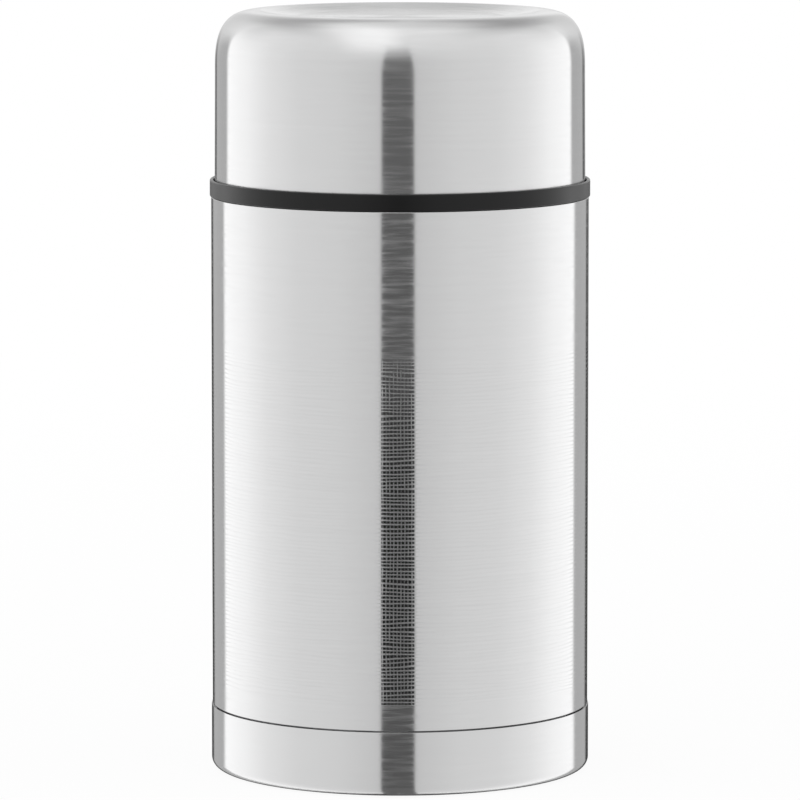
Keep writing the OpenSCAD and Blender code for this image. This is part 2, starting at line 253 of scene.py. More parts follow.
def new_object(
    name: str,
    points: np.ndarray,
    faces: Sequence[Sequence[int]],
    normals: np.ndarray | None = None,
    uvs: np.ndarray | None = None,
    sharp: float = 35.0,
) -> bpy.types.Object:
    """Makes a smooth-shaded mesh object.

    Args:
        name: Name of the piece.
        points: Vertices in metres.
        faces: Vertex numbers of each face.
        normals: One normal for each face corner, or None to let Blender find them.
        uvs: One texture point for each face corner, or None.
        sharp: Where Blender finds the normals, the turn in degrees that stays a sharp edge.

    Returns:
        The linked object.
    """
    mesh = bpy.data.meshes.new(name)
    mesh.from_pydata(points.tolist(), [], faces)
    mesh.polygons.foreach_set("use_smooth", [True] * len(mesh.polygons))
    if uvs is not None:
        mesh.uv_layers.new(name="path").data.foreach_set("uv", uvs.ravel())
    if normals is None:
        mesh.set_sharp_from_angle(angle=math.radians(sharp))
    else:
        mesh.normals_split_custom_set(normals.tolist())
    mesh.update()
    made = bpy.data.objects.new(name, mesh)
    bpy.context.scene.collection.objects.link(made)
    return made


def full_turn(count: int) -> np.ndarray:
    """Angles in radians, evenly round a full turn."""
    return np.linspace(0, 2 * math.pi, count, endpoint=False)


def ring_faces(rows: int, count: int, capped: bool = False) -> list[list[int]]:
    """Faces between closed rings of points that follow each other.

    Args:
        rows: Number of rings.
        count: Points in each ring.
        capped: Whether the first and the last ring are closed by a face.

    Returns:
        The vertex numbers of each face.
    """
    faces = [[i + k, i + count + k, i + count + (k + 1) % count, i + (k + 1) % count]
             for i in range(0, (rows - 1) * count, count) for k in range(count)]
    if capped:
        faces += [list(range(count)), list(range((rows - 1) * count, rows * count))[::-1]]
    return faces


@dataclass
class Turning:
    """A closed outline turned about the jar's axis into one solid piece.

    The texture's first coordinate goes once round the jar, and its second is
    the distance in metres along the outline. Corners below the smooth limit
    share a normal that follows the longer side, so flat walls stay flat.
    """

    name: str
    outline: Sequence[Point]
    facets: int = 192
    smooth_below: float = 32.0
    shape: Callable[[np.ndarray, np.ndarray, np.ndarray], tuple[np.ndarray, np.ndarray]] | None = None
    angles: np.ndarray | None = None

    def _ring(self) -> np.ndarray:
        """The outline without repeated points, running with the material on its left.

        Returns:
            The points, one in a row.
        """
        ring = distinct(self.outline)
        after = np.roll(ring, -1, 0)
        area = (ring[:, 0] * after[:, 1] - after[:, 0] * ring[:, 1]).sum()
        return ring if area > 0 else ring[::-1].copy()

    def _side_normals(self, ring: np.ndarray) -> tuple[np.ndarray, np.ndarray, np.ndarray]:
        """Normals at both ends of each outline step.

        Args:
            ring: The outline.

        Returns:
            Normals at the start and at the end of each step, and the steps' lengths.
        """
        step = np.roll(ring, -1, 0) - ring
        length = np.linalg.norm(step, axis=1)
        own = np.stack([step[:, 1], -step[:, 0]], 1) / length[:, None]
        before, weight = np.roll(own, 1, 0), np.roll(length, 1)
        shared = own * length[:, None] + before * weight[:, None]
        shared /= np.linalg.norm(shared, axis=1)[:, None]
        smooth = (own * before).sum(1) > math.cos(math.radians(self.smooth_below))
        start = np.where(smooth[:, None], shared, own)
        end = np.roll(np.where(smooth[:, None], shared, before), -1, 0)
        on_axis = ring[:, 0] < 1e-6
        start[on_axis, 0] = 0
        end[np.roll(on_axis, -1), 0] = 0
        for n in (start, end):
            n /= np.maximum(np.linalg.norm(n, axis=1), 1e-9)[:, None]
        return start, end, length

    def build(self) -> bpy.types.Object:
        """Makes the mesh object.

        Returns:
            The piece.
        """
        ring = self._ring()
        start, end, length = self._side_normals(ring)
        run = np.concatenate([[0], np.cumsum(length)]) * MM
        angles = full_turn(self.facets) if self.angles is None else self.angles
        count = len(angles)
        first, points = [], []
        for r, z in ring:
            first.append(len(points))
            if r < 1e-6:
                points.append((0.0, 0.0, z))
                continue
            radii, heights = np.full(count, r), np.full(count, z)
            if self.shape:
                radii, heights = self.shape(radii, heights, angles)
            points += list(zip(radii * np.cos(angles), radii * np.sin(angles), heights))
        faces, normals, uvs = [], [], []
        cos, sin = np.cos(angles), np.sin(angles)
        turn = np.append(angles, angles[0] + 2 * math.pi) / (2 * math.pi)
        for i in range(len(ring)):
            j = (i + 1) % len(ring)
            low, high = ring[i, 0] < 1e-6, ring[j, 0] < 1e-6
            if low and high:
                continue
            for k in range(count):
                m = (k + 1) % count
                corners = [(i, k, k, start[i]), (i, m, k + 1, start[i]),
                           (j, m, k + 1, end[i]), (j, k, k, end[i])]
                if low:
                    corners = [corners[0], *corners[2:]]
                if high:
                    corners = corners[:3]
                faces.append([first[p] if ring[p, 0] < 1e-6 else first[p] + a for p, a, _, _ in corners])
                for p, a, t, n in corners:
                    normals.append((n[0] * cos[a], n[0] * sin[a], n[1]))
                    uvs.append((turn[t], run[i] if p == i else run[i + 1]))
        return new_object(
            self.name, np.array(points) * MM, faces,
            None if self.shape else np.array(normals), np.array(uvs))


@dataclass
class ThreadRidge:
    """One rolled or moulded screw ridge that winds along a round wall."""

    name: str
    wall_r: float
    rise: float                     # radial height, negative where it stands inwards
    low_z: float
    pitch: float
    turns: float
    width: float = 2.6
    sunk: float = 0.15
    fade: float = 40.0
    facets: int = 96
    across: int = 10

    def build(self) -> bpy.types.Object:
        """Makes the ridge as one closed solid whose ends run out into the wall.

        Returns:
            The piece.
        """
        steps = int(self.facets * self.turns)
        side = math.copysign(1, self.rise)
        points: list[tuple[float, float, float]] = []
        for i in range(steps + 1):
            turned = 360 * self.turns * i / steps
            ends = min(turned, 360 * self.turns - turned, self.fade) / self.fade
            height = (abs(self.rise) + self.sunk) * (3 * ends**2 - 2 * ends**3)
            angle = math.radians(turned)
            middle = self.low_z + self.pitch * turned / 360
            for k in range(self.across + 1):
                t = 2 * k / self.across - 1
                bump = (0.5 + 0.5 * math.cos(math.pi * t)) ** 0.75
                r = self.wall_r + side * (height * bump - self.sunk)
                points.append((r * math.cos(angle), r * math.sin(angle), middle + t * self.width / 2))
            r = self.wall_r - side * (self.sunk + 0.1)
            points.append((r * math.cos(angle), r * math.sin(angle), middle))
        faces = ring_faces(steps + 1, self.across + 2, capped=True)
        if side < 0:
            faces = [f[::-1] for f in faces]
        return new_object(self.name, np.array(points) * MM, faces, sharp=60)


@dataclass
class Coil:
    """A spring of round wire, wound at an even pitch."""

    name: str
    mean_r: float
    wire_d: float
    low_z: float
    high_z: float
    turns: int
    facets: int = 60
    sides: int = 14

    def build(self) -> bpy.types.Object:
        """Makes the spring as one closed tube.

        Returns:
            The piece.
        """
        steps = self.turns * self.facets
        points: list[tuple[float, float, float]] = []
        for i in range(steps + 1):
            angle = 2 * math.pi * i / self.facets
            z = self.low_z + (self.high_z - self.low_z) * i / steps
            for k in range(self.sides):
                around = 2 * math.pi * k / self.sides
                r = self.mean_r + self.wire_d / 2 * math.cos(around)
                points.append((r * math.cos(angle), r * math.sin(angle),
                               z + self.wire_d / 2 * math.sin(around)))
        faces = ring_faces(steps + 1, self.sides, capped=True)
        return new_object(self.name, np.array(points) * MM, faces, sharp=60)


# ---- Finishes ----


class Nodes:
    """A node tree under construction."""

    def __init__(self, tree: bpy.types.NodeTree) -> None:
        """Takes the tree that the nodes go into."""
        self.tree = tree

    def add(self, kind: str, **settings: object) -> bpy.types.Node:
        """Adds a node.

        Args:
            kind: Its Blender type.
            settings: Values of its properties.

        Returns:
            The node.
        """
        node = self.tree.nodes.new(kind)
        for key, value in settings.items():
            setattr(node, key, value)
        return node

    def link(self, source: Socket, target: Socket) -> None:
        """Joins an output to an input."""
        self.tree.links.new(source, target)

    def math(self, operation: str, *values: Socket | float) -> Socket:
        """Adds a maths node.

        Args:
            operation: Its operation.
            values: Its inputs in order, numbers or other nodes' outputs.

        Returns:
            The result.
        """
        node = self.add("ShaderNodeMath", operation=operation)
        for target, value in zip(node.inputs, values):
            if isinstance(value, (int, float)):
                target.default_value = value
            else:
                self.link(value, target)
        return node.outputs[0]

    def times(self, *values: Socket | float) -> Socket:
        """The product of two or more values."""
        return reduce(lambda a, b: self.math("MULTIPLY", a, b), values)

    def plus(self, a: Socket | float, b: Socket | float) -> Socket:
        """The sum of two values."""
        return self.math("ADD", a, b)

    def far(self, a: Socket, b: Socket) -> Socket:
        """How far a point at two coordinates is from their origin."""
        return self.math("SQRT", self.plus(self.times(a, a), self.times(b, b)))

    def mix(self, a: Socket, b: Socket | float, share: Socket | float) -> Socket:
        """The value a where share is 0, and b where it is 1."""
        rest = 1 - share if isinstance(share, float) else self.math("SUBTRACT", 1.0, share)
        return self.plus(self.times(a, rest), self.times(b, share))

    def spread(self, value: Socket, low: float, high: float, to_low: float = 0.0,
               to_high: float = 1.0, smooth: bool = False) -> Socket:
        """Maps a value from one range to another, held at both ends.

        Args:
            value: What is mapped.
            low: Value that becomes to_low.
            high: Value that becomes to_high.
            to_low: Result at the low end.
            to_high: Result at the high end.
            smooth: Whether the change is eased.

        Returns:
            The mapped value.
        """
        node = self.add("ShaderNodeMapRange", clamp=True,
                        interpolation_type="SMOOTHSTEP" if smooth else "LINEAR")
        self.link(value, node.inputs[0])
        for i, number in enumerate((low, high, to_low, to_high)):
            node.inputs[i + 1].default_value = number
        return node.outputs[0]

    def _parts(self, kind: str) -> tuple[Socket, ...]:
        """The three parts of a texture coordinate.

        Args:
            kind: Name of the coordinate.

        Returns:
            Its x, y and z.
        """
        apart = self.add("ShaderNodeSeparateXYZ")
        self.link(self.add("ShaderNodeTexCoord").outputs[kind], apart.inputs[0])
        return tuple(apart.outputs)

    def place(self) -> tuple[Socket, ...]:
        """The piece's own x, y and z, which move with it."""
        return self._parts("Object")

    def around(self) -> Socket:
        """Part of a turn round the jar, from 0 to 1."""
        return self._parts("UV")[0]

    def along(self) -> Socket:
        """Distance along the turned outline, in metres."""
        return self._parts("UV")[1]

    def noise(self, parts: Sequence[Socket], scales: Sequence[float], detail: float = 2.0,
              roughness: float = 0.5) -> Socket:
        """Noise over three coordinates, each with a scale of its own.

        Args:
            parts: The coordinates.
            scales: How many waves each has in a metre.
            detail: Levels of finer noise.
            roughness: Strength of the finer levels.

        Returns:
            A value that averages about a half.
        """
        join = self.add("ShaderNodeCombineXYZ")
        for i, (part, scale) in enumerate(zip(parts, scales)):
            self.link(self.times(part, scale), join.inputs[i])
        node = self.add("ShaderNodeTexNoise")
        self.link(join.outputs[0], node.inputs["Vector"])
        node.inputs["Scale"].default_value = 1.0
        node.inputs["Detail"].default_value = detail
        node.inputs["Roughness"].default_value = roughness
        return node.outputs["Fac"]

    def colour(self, value: Socket, stops: Sequence[tuple[float, Colour]]) -> Socket:
        """Turns a value into a colour.

        Args:
            value: A value from 0 to 1.
            stops: Places from 0 to 1, each with its colour.

        Returns:
            The colour.
        """
        node = self.add("ShaderNodeValToRGB")
        ramp = node.color_ramp
        while len(ramp.elements) < len(stops):
            ramp.elements.new(0.5)
        for element, (place, rgb) in zip(ramp.elements, stops):
            element.position = place
            element.color = (*rgb, 1.0)
        self.link(value, node.inputs[0])
        return node.outputs[0]

    def cells(self, feature: str, scale: float) -> Socket:
        """Distances within the cells of a piece.

        Args:
            feature: What the distance is measured to.
            scale: How many cells there are in a metre.

        Returns:
            The distance, as a share of a cell.
        """
        node = self.add("ShaderNodeTexVoronoi", feature=feature)
        self.link(self.add("ShaderNodeTexCoord").outputs["Object"], node.inputs["Vector"])
        node.inputs["Scale"].default_value = scale
        return node.outputs["Distance"]

    def seen(self) -> Socket:
        """1 where a ray comes from the camera, off a gloss or through a clear piece.

        Returns:
            The 1 there, and 0 elsewhere.
        """
        path = self.add("ShaderNodeLightPath")
        return reduce(lambda a, b: self.math("MAXIMUM", a, b),
                      [path.outputs[f"Is {kind} Ray"] for kind in ("Camera", "Glossy", "Transmission")])


class Shader(Nodes):
    """A node material under construction, with a Principled surface."""

    def __init__(self, name: str) -> None:
        """Starts a material.

        Args:
            name: Name of the material.
        """
        self.material = bpy.data.materials.new(name)
        self.material.use_nodes = True
        super().__init__(self.material.node_tree)
        self.tree.nodes.clear()
        self.output = self.add("ShaderNodeOutputMaterial")
        self.surface = self.add("ShaderNodeBsdfPrincipled")
        self.link(self.surface.outputs["BSDF"], self.output.inputs["Surface"])

    def shade(self, value: Socket, tint: Colour, darker: float | Colour, lighter: float | Colour,
              places: Point = (0.3, 0.7)) -> None:
        """Colours the surface between two shades of its tint.

        Args:
            value: A value from 0 to 1.
            tint: The middle colour.
            darker: Factor on the tint at the low place, or one for each of its parts.
            lighter: Factor at the high place.
            places: Values that have the two shades.
        """
        stops = [(place, tuple(np.array(tint) * share)) for place, share in zip(places, (darker, lighter))]
        self.link(self.colour(value, stops), self.surface.inputs["Base Color"])

    def roughen(self, value: Socket, low: float, high: float, places: Point = (0.3, 0.7)) -> None:
        """Sets the surface's roughness by a value.

        Args:
            value: A value from 0 to 1.
            low: Roughness at the low place.
            high: Roughness at the high place.
            places: Values that have the two.
        """
        self.link(self.spread(value, *places, low, high), self.surface.inputs["Roughness"])

    def bump(self, height: Socket, distance: float, strength: float = 1.0) -> None:
        """Bends the surface's shading by a height.

        Args:
            height: A value that averages about a half.
            distance: Height in metres of a value of 1.
            strength: How much of the bend is used.
        """
        node = self.add("ShaderNodeBump")
        node.inputs["Strength"].default_value = strength
        node.inputs["Distance"].default_value = distance
        self.link(height, node.inputs["Height"])
        self.link(node.outputs[0], self.surface.inputs["Normal"])

    def set(self, **values: float) -> None:
        """Sets plain numbers on the surface's own sockets, with _ for a space."""
        for key, value in values.items():
            self.surface.inputs[key.replace("_", " ")].default_value = value


@dataclass(frozen=True)
class Finish:
    """A named surface that can be made into a material."""

    name: str

    def paint(self, s: Shader) -> None:
        """Adds the surface's own nodes to its new material."""
        raise NotImplementedError

    def make(self) -> bpy.types.Material:
        """Makes the material.

        Returns:
            The new material.
        """
        s = Shader(self.name)
        self.paint(s)
        return s.material


@dataclass(frozen=True)
class BrushedSteel(Finish):
    """Satin steel brushed round the jar, so that highlights stretch along its height."""

    tint: Colour = (0.64, 0.64, 0.642)
    roughness: float = 0.16
    anisotropy: float = 1.0
    hair_h: float = 0.00022         # width of a hairline, in metres
    hair_l: float = 0.012           # its length
    contrast: float = 0.018         # how far the hairlines stray from the tint
    coarse: tuple[float, float] | None = None   # heights between which scratches cross
    finer: tuple[float, float] | None = None    # heights over which the brushing turns finer
    row_pitch: float = 0.00124      # of the crossing scratches
    columns: int = 330              # of them round the jar
    crossed: Point = (0.04, 0.27)   # roughness between and in the scratches
    streaks: float = 0.0            # how much rougher the stray hairlines are

    def paint(self, s: Shader) -> None:
        """Adds its nodes.

        Args:
            s: The new material.
        """
        x, y, z = s.place()
        v = s.along()
        fine = s.noise((x, y, v), (1 / self.hair_l, 1 / self.hair_l, 1 / self.hair_h), 3.0, 0.6)
        mixed = s.mix(fine, s.noise((x, y, v), (14.0, 14.0, 700.0)), 0.35)
        s.shade(mixed, self.tint, 1 - self.contrast, 1 + self.contrast)
        rough = s.spread(mixed, 0.3, 0.7, self.roughness - 0.03, self.roughness + 0.03)
        if self.streaks:
            stray = s.spread(s.noise((x, y, v), (110.0, 110.0, 1150.0), 1.0), 0.42, 0.66)
            rough = s.times(rough, s.plus(0.88, s.times(stray, self.streaks)))
        if self.finer:
            rough = s.times(rough, s.spread(z, *self.finer, 1.0, 0.65, True))
        if self.coarse:
            rough = self._crossed(s, (x, y, z), v, rough)
        s.link(rough, s.surface.inputs["Roughness"])
        s.set(Metallic=1.0, Anisotropic=self.anisotropy, Anisotropic_Rotation=0.25)
        tangent = s.add("ShaderNodeTangent", direction_type="RADIAL", axis="Z")
        s.link(tangent.outputs[0], s.surface.inputs["Tangent"])
        s.bump(mixed, 0.000004, 0.6)

    def _crossed(self, s: Shader, place: tuple[Socket, ...], v: Socket, rough: Socket) -> Socket:
        """Lays fine crossing scratches between two heights, seen in dark reflections.

        Args:
            s: The material.
            place: The piece's own x, y and z.
            v: Distance along the outline.
            rough: Roughness elsewhere.

        Returns:
            The roughness everywhere.
        """
        x, y, z = place
        low, high = self.coarse
        sway = s.noise((x, y, v), (35.0, 35.0, 160.0))
        level = s.plus(s.times(v, 2 * math.pi / self.row_pitch), s.times(sway, 14.0))
        drift = s.noise((x, y, v), (200.0, 200.0, 30.0))
        upright = s.plus(s.times(s.around(), 2 * math.pi * self.columns), s.times(drift, 6.0))
        patch = s.noise((x, y, v), (420.0, 420.0, 300.0), 1.0)
        rows = s.times(s.spread(s.math("SINE", level), 0.05, 0.75),
                       s.spread(patch, 0.3, 0.6, 0.8, 1))
        columns = s.times(s.spread(s.math("SINE", upright), 0.3, 0.9),
                          s.spread(patch, 0.35, 0.65, 0.95, 0.3))
        woven = s.spread(s.math("MAXIMUM", rows, columns), 0, 1, *self.crossed)
        inside = s.times(s.spread(z, low, low + 0.0006), s.spread(z, high - 0.003, high, 1, 0, True))
        return s.mix(rough, woven, inside)


@dataclass(frozen=True)
class DrawnSteel(Finish):
    """Plain drawn or rolled steel with a soft, slightly clouded shine."""

    tint: Colour = (0.56, 0.57, 0.58)
    roughness: float = 0.3
    grain: float = 350.0
    ringed: bool = False            # whether faint rings of the drawing show
    metal: float = 1.0              # less where a dull skin scatters the light in a deep pot

    def paint(self, s: Shader) -> None:
        """Adds its nodes.

        Args:
            s: The new material.
        """
        x, y, z = s.place()
        cloud = s.noise((x, y, z), (60.0,) * 3, 3.0, 0.55)
        last = s.along() if self.ringed else z
        grain = s.noise((x, y, last), (40.0 if self.ringed else self.grain,) * 2 + (self.grain * 4,))
        mixed = s.mix(cloud, grain, 0.5)
        s.shade(mixed, self.tint, 0.9, 1.08)
        s.roughen(mixed, self.roughness - 0.06, self.roughness + 0.06)
        s.set(Metallic=self.metal)
        s.bump(grain, 0.000006, 0.7)


@dataclass(frozen=True)
class MouldedPlastic(Finish):
    """Moulded plastic with a fine spark-eroded grain."""

    tint: Colour
    roughness: float = 0.42
    shine: float = 0.5              # specular level
    skin: float = 0.0               # weight of a clear skin that shines at a glance
    grain: float = 2600.0
    depth: float = 0.00001

    def paint(self, s: Shader) -> None:
        """Adds its nodes.

        Args:
            s: The new material.
        """
        x, y, z = s.place()
        grain = s.noise((x, y, z), (self.grain,) * 3, 2.0, 0.6)
        mixed = s.mix(s.noise((x, y, z), (90.0,) * 3), grain, 0.4)
        s.shade(mixed, self.tint, 0.86, 1.14)
        s.roughen(mixed, self.roughness - 0.05, self.roughness + 0.05)
        s.set(Metallic=0.0, Specular_IOR_Level=self.shine, Coat_Weight=self.skin, Coat_Roughness=0.35,
              Coat_IOR=1.2)
        s.bump(grain, self.depth, 0.8)


@dataclass(frozen=True)
class SoftRubber(Finish):
    """Milky silicone with a soft sheen."""

    tint: Colour = (0.78, 0.78, 0.75)

    def paint(self, s: Shader) -> None:
        """Adds its nodes.

        Args:
            s: The new material.
        """
        x, y, z = s.place()
        cloud = s.noise((x, y, z), (120.0,) * 3, 3.0)
        s.shade(cloud, self.tint, (0.94, 0.94, 0.93), 1.04)
        s.roughen(cloud, 0.4, 0.52)
        s.set(Subsurface_Weight=0.25, Subsurface_Scale=0.002, Specular_IOR_Level=0.45)
        s.bump(cloud, 0.00002, 0.4)


@dataclass(frozen=True)
class FineFoam(Finish):
    """Cut closed-cell foam with small pores, painted darker in the pores as painted shade."""

    tint: Colour = (0.84, 0.79, 0.62)

    def paint(self, s: Shader) -> None:
        """Adds its nodes.

        Args:
            s: The new material.
        """
        pores = s.spread(s.cells("F1", 1400.0), 0.1, 0.6)
        # The colour is painted darker in the pores, as painted shade in their hollows.
        s.shade(pores, self.tint, (0.7, 0.68, 0.6), 1.0, (0.0, 0.6))
        s.roughen(pores, 0.95, 0.8, (0, 1))
        s.bump(pores, 0.0001, 0.8)


@dataclass(frozen=True)
class CreasedFoil(Finish):
    """Bright foil with light creases, painted darker along the creases as painted shade."""

    tint: Colour = (0.86, 0.87, 0.88)
    # Colour along the creases, darker as painted shade.
    crease_shade: Colour = (0.7, 0.71, 0.72)

    def paint(self, s: Shader) -> None:
        """Adds its nodes.

        Args:
            s: The new material.
        """
        fold = s.spread(s.cells("DISTANCE_TO_EDGE", 130.0), 0.0, 0.12)
        # The colour is painted darker along the creases, as painted shade in their folds.
        s.shade(fold, (1, 1, 1), self.crease_shade, self.tint, (0, 1))
        s.roughen(fold, 0.36, 0.16, (0, 1))
        s.set(Metallic=1.0)
        s.bump(fold, 0.0003, 0.7)


@dataclass(frozen=True)
class PressedPowder(Finish):
    """Dull powder pressed into a bar."""

    tint: Colour = (0.2, 0.19, 0.18)

    def paint(self, s: Shader) -> None:
        """Adds its nodes.

        Args:
            s: The new material.
        """
        x, y, z = s.place()
        grit = s.noise((x, y, z), (3200.0,) * 3, 4.0, 0.7)
        s.shade(grit, self.tint, 0.6, 1.4)
        s.roughen(grit, 0.75, 0.95)
        s.set(Metallic=0.3)
        s.bump(grit, 0.00006, 1.0)


@dataclass
class Wardrobe:
    """The finishes of the jar, each made once when it is first asked for."""

    finishes: dict[str, Finish]
    made: dict[str, bpy.types.Material] = field(default_factory=dict)

    def get(self, key: str) -> bpy.types.Material:
        """The material of that name.

        Args:
            key: Name of its finish.

        Returns:
            The material, made now if this is its first use.
        """
        if key not in self.made:
            self.made[key] = self.finishes[key].make()
        return self.made[key]

    def dress(self, piece: bpy.types.Object, key: str) -> None:
        """Gives a piece one material in every slot.

        Args:
            piece: The object.
            key: Name of the finish.
        """
        slots = max(1, len(piece.data.materials))
        piece.data.materials.clear()
        for _ in range(slots):
            piece.data.materials.append(self.get(key))


FINISHES: tuple[Finish, ...] = (
    BrushedSteel("body_steel", coarse=(0.0284, 0.138), streaks=0.5),
    BrushedSteel("cap_steel", finer=(0.2410, 0.2416), streaks=0.3),
    BrushedSteel("neck_steel", roughness=0.26, hair_l=0.02, contrast=0.05),
    DrawnSteel("liner_steel", ringed=True, metal=0.55),
    DrawnSteel("pan_steel", tint=(0.52, 0.53, 0.54), roughness=0.36),
    DrawnSteel("wire_steel", tint=(0.66, 0.66, 0.67), roughness=0.2, grain=900.0),
    DrawnSteel("solder", tint=(0.46, 0.46, 0.47), roughness=0.42, grain=200.0),
    CreasedFoil("foil"),
    PressedPowder("getter"),
    MouldedPlastic("black_plastic", (0.005, 0.005, 0.0052), 0.36, 0.15, 1.0),
    MouldedPlastic("grey_plastic", (0.075, 0.078, 0.083), 0.38),
    SoftRubber("silicone"),
    FineFoam("foam"),
)


@dataclass
class Assembly:
    """What every sub-assembly does with its pieces."""

    frame: dict
    wardrobe: Wardrobe
    body: Body

    def fit(self, piece: bpy.types.Object, finish: str, slot: Slot, node: str = "") -> bpy.types.Object:
        """Dresses a new piece and sets it on its body.

        Args:
            piece: The new piece.
            finish: Name of its finish.
            slot: The record's slot for the piece; not used.
            node: The node that it stands for, if any.

        Returns:
            The piece.
        """
        self.wardrobe.dress(piece, finish)
        if node:
            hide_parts(node)
            low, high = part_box(node)
            co = np.array([tuple(v.co) for v in piece.data.vertices])
            off = max(abs(co.min(0) - np.array(low)).max(), abs(co.max(0) - np.array(high)).max())
            log.info("%s stands for %s, box within %.3f mm", piece.name, node, off / MM)
        else:
            log.info("%s added to %s", piece.name, self.body.value)
        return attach(piece, self.body.value)

    def carry(self, **nodes: str) -> None:
        """Gives nodes that stay as they are their finish.

        Args:
            nodes: Name of the finish of each node.
        """
        for node, finish in nodes.items():
            self.wardrobe.dress(self.frame["nodes"][node], finish)
            log.info("%s kept, dressed in %s", node, finish)


@dataclass
class Vessel(Assembly):
    """Body tube, liner, closing pan with its getter, foil and base cap."""

    body: Body = Body.VESSEL
    body_r: float = 60.0
    body_h: float = 183.0
    edge_r: float = 0.4
    wall: float = 0.5
    liner_wall: float = 0.4
    liner_r: float = 52.5
    liner_floor: float = 18.0
    liner_corner_r: float = 10.0
    slope_z: tuple[float, float] = (159.0, 168.0)
    mouth_r: float = 46.5
    mouth_z: float = 204.5
    neck_r: float = 50.0
    neck_bend_r: float = 1.2
    lip_r: float = 1.6
    foot_z: float = 6.1
    seam_z: float = 20.5
    seam_h: float = 0.3
    groove_h: float = 1.2           # of the undercut behind the seam
    groove_d: float = 0.9
    edge_drop: float = 0.15         # by which the base cap's edge stays low and falls inwards
    base_r: float = 60.3
    base_corner_r: float = 3.0
    foot_w: float = 8.0
    recess: float = 1.6

    def shell(self) -> bpy.types.Object:
        """Body tube from its swaged foot up to the neck.

        Returns:
            The piece.
        """
        foot_r = self.base_r - self.wall
        groove_z = self.seam_z - self.groove_h
        path = [
            (foot_r, self.foot_z), (foot_r, groove_z - 0.4), (foot_r - self.groove_d, groove_z),
            (foot_r - self.groove_d / 3, self.seam_z + self.seam_h),
            *line((self.body_r, self.seam_z + self.seam_h),
                  (self.body_r, self.body_h - self.edge_r - 0.2), 12),
            *arc((self.body_r - self.edge_r, self.body_h - self.edge_r), self.edge_r, 0, 90, 14),
            *arc((self.neck_r + self.neck_bend_r, self.body_h + self.neck_bend_r),
                 self.neck_bend_r, 270, 180, 12),
            (self.neck_r, self.mouth_z - self.liner_wall)]
        return Turning("body_shell", eased(sheet(path, -self.wall), 0.1, 60)).build()

    def liner(self) -> bpy.types.Object:
        """Food pot with its narrower mouth and rolled lip.

        Returns:
            The piece.
        """
        inner = self.liner_r - self.liner_wall
        path = [
            *line((0, self.liner_floor), (inner - self.liner_corner_r, self.liner_floor), 6)[:-1],
            *arc((inner - self.liner_corner_r, self.liner_floor + self.liner_corner_r),
                 self.liner_corner_r, 270, 360, 24),
            *ease_up((inner, self.slope_z[0]), (self.mouth_r, self.slope_z[1])),
            *arc((self.mouth_r + self.lip_r, self.mouth_z - self.lip_r), self.lip_r, 180, 90, 14),
            (self.neck_r, self.mouth_z)]
        return Turning("liner_pot", eased(sheet(path, self.liner_wall), 0.1, 60)).build()

    def base_cap(self) -> bpy.types.Object:
        """Pressed cap with its foot ring and shallow recess.

        Returns:
            The piece.
        """
        out_r = self.base_r - self.base_corner_r
        in_r = out_r - self.foot_w
        path = [
            *line((0, self.recess), (in_r - 3, self.recess), 6)[:-1],
            *ease_across((in_r - 3, self.recess), (in_r, 0)),
            *arc((out_r, self.base_corner_r), self.base_corner_r, 270, 360, 24),
            (self.base_r, self.seam_z - self.edge_drop)]
        outline = sheet(path, -self.wall)
        outline[len(path)] = (self.base_r - self.wall, self.seam_z - 2 * self.edge_drop)
        return Turning("base_cap_pressed", eased(outline, 0.1, 60)).build()

    def build(self) -> None:
        """Makes and dresses the vessel."""
        self.fit(self.shell(), "body_steel", Slot.BRUSHED_STEEL, "outer_shell")
        self.fit(self.liner(), "liner_steel", Slot.LINER_STEEL, "inner_liner")
        self.fit(self.base_cap(), "cap_steel", Slot.BRUSHED_STEEL, "base_cap")
        thread = ThreadRidge("neck_thread", self.neck_r, rise=1.2, low_z=188.4, pitch=5.0, turns=1.9)
        self.fit(thread.build(), "neck_steel", Slot.BRUSHED_STEEL)
        thread = ThreadRidge("mouth_thread", self.mouth_r, rise=-1.0, low_z=182.0, pitch=4.5, turns=2.2)
        self.fit(thread.build(), "liner_steel", Slot.LINER_STEEL)
        self.carry(vacuum_base="pan_steel", vacuum_plug="solder", getter_holder="pan_steel",
                   getter_tablet="getter", reflective_foil="foil")


